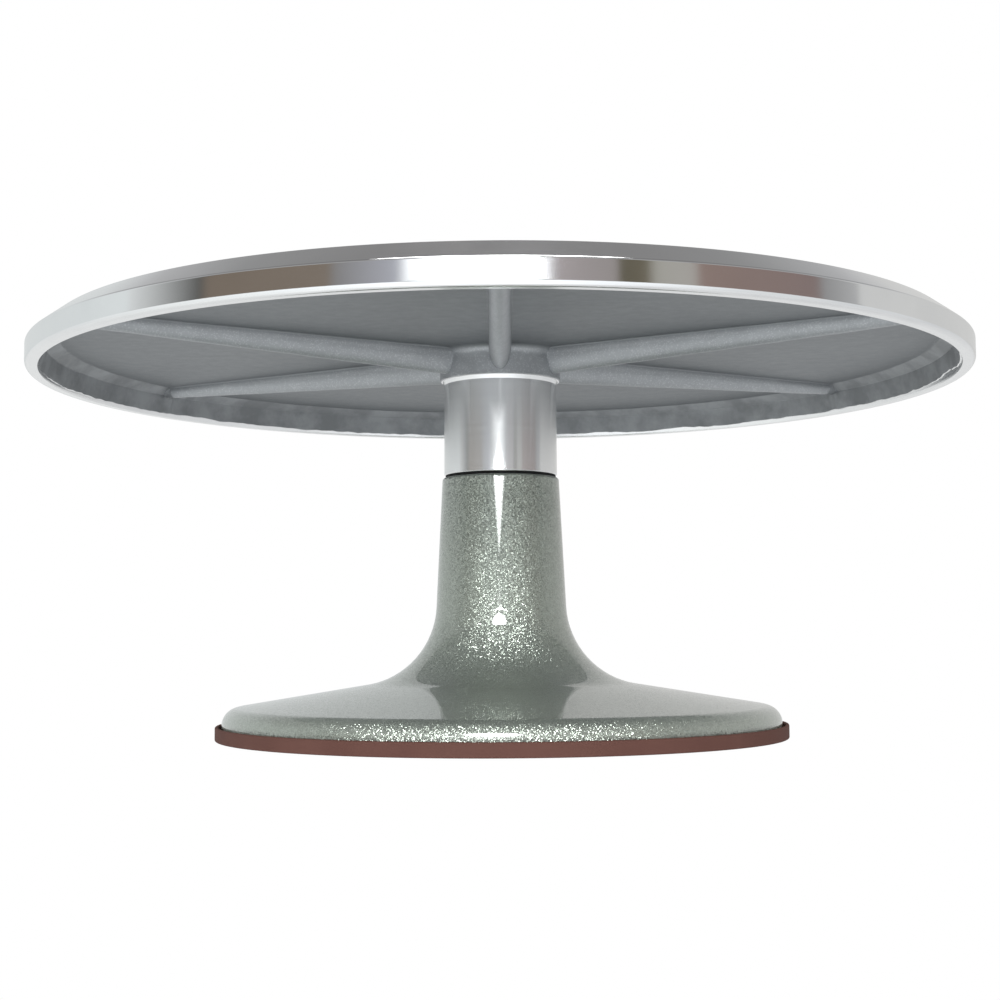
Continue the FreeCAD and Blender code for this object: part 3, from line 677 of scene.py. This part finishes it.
def make_collar(material):
    """The collar: a plain sleeve with a thin lip at its top, on a short cone."""
    lip_radius = COLLAR_RADIUS + COLLAR_LIP
    lip_low, lip_high = COLLAR_TOP - 1.35 * MM, COLLAR_TOP - 0.15 * MM
    chamfer_in, chamfer_up = 0.2 * MM, 0.25 * MM
    outline = rounded([
        (SPIGOT_RADIUS, COLLAR_BOTTOM, 0.2 * MM), (COLLAR_RADIUS - chamfer_in, COLLAR_BOTTOM, 0.05 * MM),
        (COLLAR_RADIUS, COLLAR_BOTTOM + chamfer_up, 0.1 * MM), (COLLAR_RADIUS, lip_low, 0.15 * MM),
        (lip_radius, lip_high, 0.06 * MM), (lip_radius, COLLAR_TOP, 0.06 * MM),
        (SPIGOT_RADIUS, COLLAR_TOP, 0.12 * MM),
    ])
    attach(lathe("collar", outline, [material]), "turntable", "turned_aluminium", "collar_sleeve")


PAINTED, BARE, SEATS = range(3)


def pedestal_zone(radius, height):
    """Which of the pedestal's materials a face has, by the middle of its row."""
    if radius < SEAT_RADIUS + 1 * MM:
        return SEATS
    (inner, high), (outer, low) = BELL_LINE
    ceiling = between(high, low, (radius - inner) / (outer - inner))
    in_bell = radius < 89 * MM and height < max(ceiling, 5.5 * MM)
    in_throat = radius <= THROAT_RADIUS + BARE_MARGIN and height < THROAT_TOP + BARE_MARGIN
    slope = THROAT_RADIUS + (THROAT_LOW - height) * 1.6
    in_slope = height < THROAT_LOW + BARE_MARGIN and radius < min(BELL_DEEP[0], slope)
    return BARE if in_bell or in_throat or in_slope else PAINTED


def make_pedestal(*materials):
    """The pedestal: painted outside, rough in the bell below, and machined at the bearing seats."""
    lower_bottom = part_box("lower_bearing_outer_ring")[0].z
    lower_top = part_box("lower_bearing_outer_ring")[1].z
    upper_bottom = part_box("upper_bearing_outer_ring")[0].z
    groove_low, mouth = lower_bottom - GROOVE_HEIGHT, SEAT_RADIUS + SEAT_CHAMFER
    outside = [
        (mouth, STEM_TOP, 0), (STEM_RADIUS, STEM_TOP, 1.0 * MM), (*SWEEP_CORNER, SWEEP_ROUND),
        (FOOT_RADIUS, SHOULDER_HEIGHT, SHOULDER_ROUND), (FOOT_RADIUS, FOOT_BOTTOM, 0.4 * MM),
    ]
    bell = [
        (BELL_RADIUS, FOOT_BOTTOM, 0.3 * MM), (BELL_RADIUS, 5.1 * MM, 1.0 * MM), (*BELL_EDGE, 2 * MM),
        (*BELL_DEEP, 6 * MM), (THROAT_RADIUS, THROAT_LOW, 2 * MM), (THROAT_RADIUS, THROAT_TOP, 0.8 * MM),
    ]
    seats = [
        (mouth, THROAT_TOP, 0), (SEAT_RADIUS, THROAT_TOP + SEAT_CHAMFER, 0), (SEAT_RADIUS, groove_low, 0),
        (GROOVE_RADIUS, groove_low, 0), (GROOVE_RADIUS, lower_bottom, 0), (SEAT_RADIUS, lower_bottom, 0),
        (SEAT_RADIUS, lower_top, 0), (SHELF_RADIUS, lower_top, 0), (SHELF_RADIUS, upper_bottom, 0),
        (SEAT_RADIUS, upper_bottom, 0), (SEAT_RADIUS, STEM_TOP - SEAT_CHAMFER, 0),
    ]
    outline = rounded(outside + bell + seats, steps=16)
    pedestal = lathe("pedestal", outline, materials, pedestal_zone)
    attach(pedestal, "pedestal", "glitter_paint", "pedestal_casting")


def make_pad(material):
    """The pad: grooved below, with a lip round the foot's edge and a tongue inside its rim."""
    floor, inner = FOOT_BOTTOM, 76 * MM
    lip_top, lip_inner = 4.4 * MM, PAD_RADIUS - 1.2 * MM
    tongue_outer, tongue_inner, tongue_top = 86.4 * MM, 84.6 * MM, 4.6 * MM
    groove_half, groove_top_half, groove_depth, edge = 0.6 * MM, 0.5 * MM, 0.6 * MM, 0.1 * MM
    corners = [(inner, 0, 0.4 * MM)]
    for i in range(4):
        groove = (78.6 + 3.4 * i) * MM
        corners += [(groove - groove_half, 0, edge), (groove - groove_top_half, groove_depth, edge),
                    (groove + groove_top_half, groove_depth, edge), (groove + groove_half, 0, edge)]
    corners += [
        (PAD_RADIUS, 0, 0.5 * MM), (PAD_RADIUS, lip_top, 0.5 * MM), (lip_inner, lip_top, 0.5 * MM),
        (lip_inner, floor, 0.3 * MM), (tongue_outer, floor, 0.2 * MM), (tongue_outer, tongue_top, 0.5 * MM),
        (tongue_inner, tongue_top, 0.5 * MM), (tongue_inner, floor, 0.2 * MM), (inner, floor, 0.5 * MM),
    ]
    attach(lathe("pad", rounded(corners), [material]), "pedestal", "brown_rubber", "foot_pad")


def dress_frame():
    """Gives the pieces that keep their own meshes their materials."""
    ground = steel("bearing_steel", (0.58, 0.58, 0.59), (0.68, 0.68, 0.69), 0.12, 9000)
    sheet = steel("shield_steel", (0.5, 0.5, 0.5), (0.62, 0.62, 0.61), 0.3)
    shaft = steel("spindle_steel", (0.4, 0.4, 0.41), (0.54, 0.54, 0.55), 0.24, 6000)
    zinc = steel("zinc_steel", (0.5, 0.51, 0.49), (0.66, 0.67, 0.64), 0.33)
    black = steel("spring_steel", (0.03, 0.03, 0.032), (0.07, 0.07, 0.075), 0.4)
    plastic = nylon()
    # The dust seal is black rubber, made very dark so that it also stands in for the shade in the gap under
    # the collar: partly real colour, partly painted shade.
    seal_and_gap_shade = rubber("black_rubber", (0.008, 0.008, 0.008), (0.02, 0.02, 0.02), 0.6)
    dress = {"spindle": shaft, "bearing_spacer_tube": zinc, "spindle_washer": zinc, "spindle_nut": zinc,
             "nut_insert": plastic, "dust_seal": seal_and_gap_shade, "housing_retaining_ring": black}
    for side in ("upper", "lower"):
        for part in ("inner_ring", "outer_ring", "balls"):
            dress[f"{side}_bearing_{part}"] = ground
        dress[f"{side}_bearing_cage"] = plastic
        dress[f"{side}_bearing_shields"] = sheet
    for name, material in dress.items():
        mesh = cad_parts[name].data
        mesh.materials.clear()
        mesh.materials.append(material)


# ---------------------------------------------------------------- floor, light and camera

# Panels that stand round the set: from the back over the left side, the front and the right side to
# the back again. Each has the azimuth where it ends, in degrees from the front towards +X, and its
# colour at its start and its end.
PANELS = [
    (-92, (0.68, 0.7, 0.7), (0.82, 0.86, 0.86)), (-69, (0.78, 0.8, 0.8), (0.1, 0.1, 0.095)),
    (-37, (0.22, 0.18, 0.145), (0.24, 0.20, 0.165)), (-21, (0.27, 0.265, 0.265), (0.46, 0.47, 0.52)),
    (8.5, (1.45, 1.48, 1.5), (1.45, 1.48, 1.5)), (12, (0.75, 0.72, 0.74), (0.72, 0.7, 0.72)),
    (26, (0.42, 0.38, 0.38), (0.36, 0.33, 0.32)), (33.5, (0.14, 0.125, 0.09), (0.17, 0.15, 0.11)),
    (44, (0.42, 0.41, 0.37), (0.45, 0.43, 0.40)), (76, (0.30, 0.225, 0.2), (0.26, 0.2, 0.19)),
    (88, (0.32, 0.32, 0.32), (0.5, 0.5, 0.5)), (180, (0.7, 0.7, 0.69), (0.66, 0.66, 0.65)),
]
PANEL_EDGE = 1.2        # degrees over which one panel turns into the next

# The pale table goes by azimuth. The ceiling goes by how high a direction points: 0 is level and 1 is
# straight up. The last line says between which heights the panels turn into the ceiling or the table.
TABLE = [(-180, (0.82, 0.83, 0.83)), (-120, (0.86, 0.88, 0.88)), (-60, (1.08, 1.11, 1.11)),
         (-22, (1.34, 1.38, 1.42)), (12, (1.34, 1.38, 1.42)), (60, (0.86, 0.88, 0.89)),
         (120, (0.74, 0.75, 0.76)), (180, (0.82, 0.83, 0.83))]
CEILING = [(0.0, (0.62, 0.62, 0.63)), (0.5, (0.55, 0.55, 0.56)), (0.72, (0.32, 0.32, 0.32)),
           (0.87, (0.25, 0.245, 0.245)), (1.0, (0.2, 0.2, 0.2))]
TO_CEILING, TO_TABLE = (0.42, 0.56), (0.0, -0.06)

# In front the panel is darker below SKIRT_TOP, in degrees. A bright pane crosses it: an hourglass, narrow
# at its waist, wider above and below it, and dimmer below. A round lamp hangs above the pane.
SKIRT_TOP, SKIRT_LEFT, SKIRT_RIGHT, SKIRT_LEVEL = 9.5, -21, 12, 0.28
PANE_MIDDLE, PANE_WAIST, PANE_WIDEN, PANE_LOW, PANE_HIGH = -3.7, 8.3, 3.9, 3.5, 12.2
PANE_LOW_POWER, PANE_POWER = 4.5, 21.0
PANE_SOFT = (0.6, 2.6)  # degrees inside the hourglass where it starts to shine, and where it is full
LAMP_AZIMUTH, LAMP_HEIGHT, LAMP_RADIUS, LAMP_POWER = -3.7, 27.5, 10.0, 28.0
LIGHT_TINT = (0.98, 1.0, 1.0)

# The view: just above the table, 53 cm in front, looking up a little. The roll is in radians.
CAMERA_AT = (0, -0.5258, 0.0341)
CAMERA_LENS, CAMERA_SHIFT = 57.17, -0.0008
CAMERA_PITCH, CAMERA_ROLL = math.radians(4.75), -0.0054


def round_the_set(azimuth):
    """The place on a colour ramp, from 0 to 1, of an azimuth in degrees."""
    return (azimuth + 180) / 360


def bright_ramp(tree, factor, stops):
    """A colour ramp that may go over 1: its colours are divided by the brightest, then scaled up."""
    brightest = max(max(colour) for _, colour in stops)
    dimmed = [(at, tuple(channel / brightest for channel in colour)) for at, colour in stops]
    return scaled(tree, ramp(tree, factor, dimmed), brightest)


def within(tree, value, low, high, edge):
    """1 between two limits and 0 outside them, with soft edges."""
    rise = progress(tree, value, low - edge, low + edge)
    fall = progress(tree, value, high + edge, high - edge)
    return times(tree, rise, fall)


def room_colour(tree, height, azimuth, side, elevation):
    """The room without its pane and lamp: the table below, the panels round the set and the ceiling."""
    stops, start = [], -180
    for end, first, last in PANELS:
        stops.append((round_the_set(start + PANEL_EDGE / 2), first))
        stops.append((round_the_set(end - PANEL_EDGE / 2), last))
        start = end
    skirt = times(tree, within(tree, side, SKIRT_LEFT, SKIRT_RIGHT, 0.6),
                  progress(tree, elevation, SKIRT_TOP + 1.5, SKIRT_TOP - 0.5))
    dimmer = calc(tree, "SUBTRACT", 1.0, times(tree, skirt, 1 - SKIRT_LEVEL))
    panels = scaled(tree, bright_ramp(tree, azimuth, stops), dimmer)
    table = bright_ramp(tree, azimuth, [(round_the_set(at), colour) for at, colour in TABLE])
    upper = blend(tree, progress(tree, height, *TO_CEILING), panels, ramp(tree, height, CEILING))
    return blend(tree, progress(tree, height, *TO_TABLE), upper, table)


def pane_power(tree, side, elevation):
    """How brightly the hourglass-shaped pane shines in a direction."""
    from_waist = calc(tree, "ABSOLUTE", calc(tree, "SUBTRACT", elevation, PANE_WAIST))
    from_middle = calc(tree, "ABSOLUTE", calc(tree, "SUBTRACT", side, PANE_MIDDLE))
    inside = calc(tree, "SUBTRACT", times(tree, from_waist, PANE_WIDEN), from_middle)
    level = within(tree, elevation, PANE_LOW, PANE_HIGH, 0.5)
    above_waist = progress(tree, elevation, PANE_WAIST - 0.4, PANE_WAIST + 0.4)
    power = range_of(tree, above_waist, PANE_LOW_POWER, PANE_POWER)
    return times(tree, times(tree, progress(tree, inside, *PANE_SOFT), level), power)


def lamp_power(tree, direction):
    """How brightly the round lamp shines in a direction."""
    azimuth, elevation = math.radians(LAMP_AZIMUTH), math.radians(LAMP_HEIGHT)
    flat = math.cos(elevation)
    lamp_at = (flat * math.sin(azimuth), -flat * math.cos(azimuth), math.sin(elevation))
    facing = node(tree, "VectorMath", {0: direction, 1: lamp_at}, operation="DOT_PRODUCT").outputs["Value"]
    edge, full = math.cos(math.radians(LAMP_RADIUS + 2)), math.cos(math.radians(LAMP_RADIUS - 1))
    return times(tree, progress(tree, facing, edge, full), LAMP_POWER)


def make_world():
    """A pale room that lights the object as described above, and is plain white for the camera."""
    world = bpy.data.worlds.new("studio")
    world.use_nodes = True
    tree = world.node_tree
    tree.nodes.clear()
    direction = node(tree, "TexCoord").outputs["Generated"]
    split = node(tree, "SeparateXYZ", {0: direction})
    height = split.outputs[2]
    angle = calc(tree, "ARCTAN2", split.outputs[0], times(tree, split.outputs[1], -1.0))
    azimuth = calc(tree, "ADD", calc(tree, "DIVIDE", angle, 2 * math.pi), 0.5)
    side = times(tree, calc(tree, "SUBTRACT", azimuth, 0.5), 360.0)
    elevation = times(tree, calc(tree, "ARCSINE", height), 180 / math.pi)
    room = room_colour(tree, height, azimuth, side, elevation)
    power = calc(tree, "ADD", pane_power(tree, side, elevation), lamp_power(tree, direction))
    shine = {0: room, 1: scaled(tree, LIGHT_TINT, power)}
    lights = node(tree, "VectorMath", shine, operation="ADD").outputs[0]
    lit = node(tree, "Background", {"Color": lights, "Strength": 1.0})
    plain_white = node(tree, "Background", {"Color": (1, 1, 1, 1), "Strength": 1.0})
    seen = node(tree, "LightPath").outputs["Is Camera Ray"]
    mixed = node(tree, "MixShader", {0: seen, 1: lit.outputs[0], 2: plain_white.outputs[0]})
    output = tree.nodes.new("ShaderNodeOutputWorld")
    tree.links.new(mixed.outputs[0], output.inputs["Surface"])
    bpy.context.scene.world = world


def make_floor():
    """A plain white floor for the camera. The world's table lights the object from below through it."""
    mesh = bpy.data.meshes.new("floor")
    work = bmesh.new()
    bmesh.ops.create_circle(work, cap_ends=True, segments=96, radius=8.0)
    work.to_mesh(mesh)
    work.free()
    material, tree, shader = new_material("floor")
    feed(tree, shader, {"Base Color": (0, 0, 0, 1), "Roughness": 1.0, "Specular IOR Level": 0.0,
                        "Emission Color": (1, 1, 1, 1), "Emission Strength": 1.0})
    mesh.materials.append(material)
    floor = bpy.data.objects.new("floor", mesh)
    bpy.context.scene.collection.objects.link(floor)
    floor.visible_diffuse = False
    floor.visible_glossy = False
    floor.visible_shadow = False


def make_light(name, place_at, aim, size, watts):
    light = bpy.data.lights.new(name, "AREA")
    light.shape = "DISK"
    light.size = size
    light.energy = watts
    lamp = bpy.data.objects.new(name, light)
    lamp.location = place_at
    lamp.rotation_euler = (Vector(aim) - Vector(place_at)).to_track_quat("-Z", "Y").to_euler()
    lamp.visible_camera = False
    bpy.context.scene.collection.objects.link(lamp)


def make_camera():
    data = bpy.data.cameras.new("camera")
    data.sensor_width, data.lens = 36.0, CAMERA_LENS
    data.shift_x = CAMERA_SHIFT
    data.clip_start, data.clip_end = 0.01, 50
    camera = bpy.data.objects.new("camera", data)
    turned = Matrix.Rotation(math.pi / 2 + CAMERA_PITCH, 4, "X") @ Matrix.Rotation(CAMERA_ROLL, 4, "Z")
    camera.matrix_world = Matrix.Translation(CAMERA_AT) @ turned
    bpy.context.scene.collection.objects.link(camera)
    bpy.context.scene.camera = camera


# ---------------------------------------------------------------- build

make_camera()
make_world()
make_floor()
make_light("overhead", place_at=(0, -0.1, 1.3), aim=(0, 0, 0.1), size=0.7, watts=9)
bpy.context.scene.view_settings.view_transform = "Standard"

make_plate([cast_aluminium(), polished_aluminium(), turned_top(), satin_aluminium()])
make_collar(turned_aluminium())
make_pedestal(glitter_paint(), bare_casting(),
              steel("seat_iron", (0.3, 0.3, 0.3), (0.42, 0.42, 0.42), 0.35))
make_pad(rubber("brown_rubber", (0.072, 0.032, 0.026), (0.115, 0.056, 0.045), 0.8))
dress_frame()
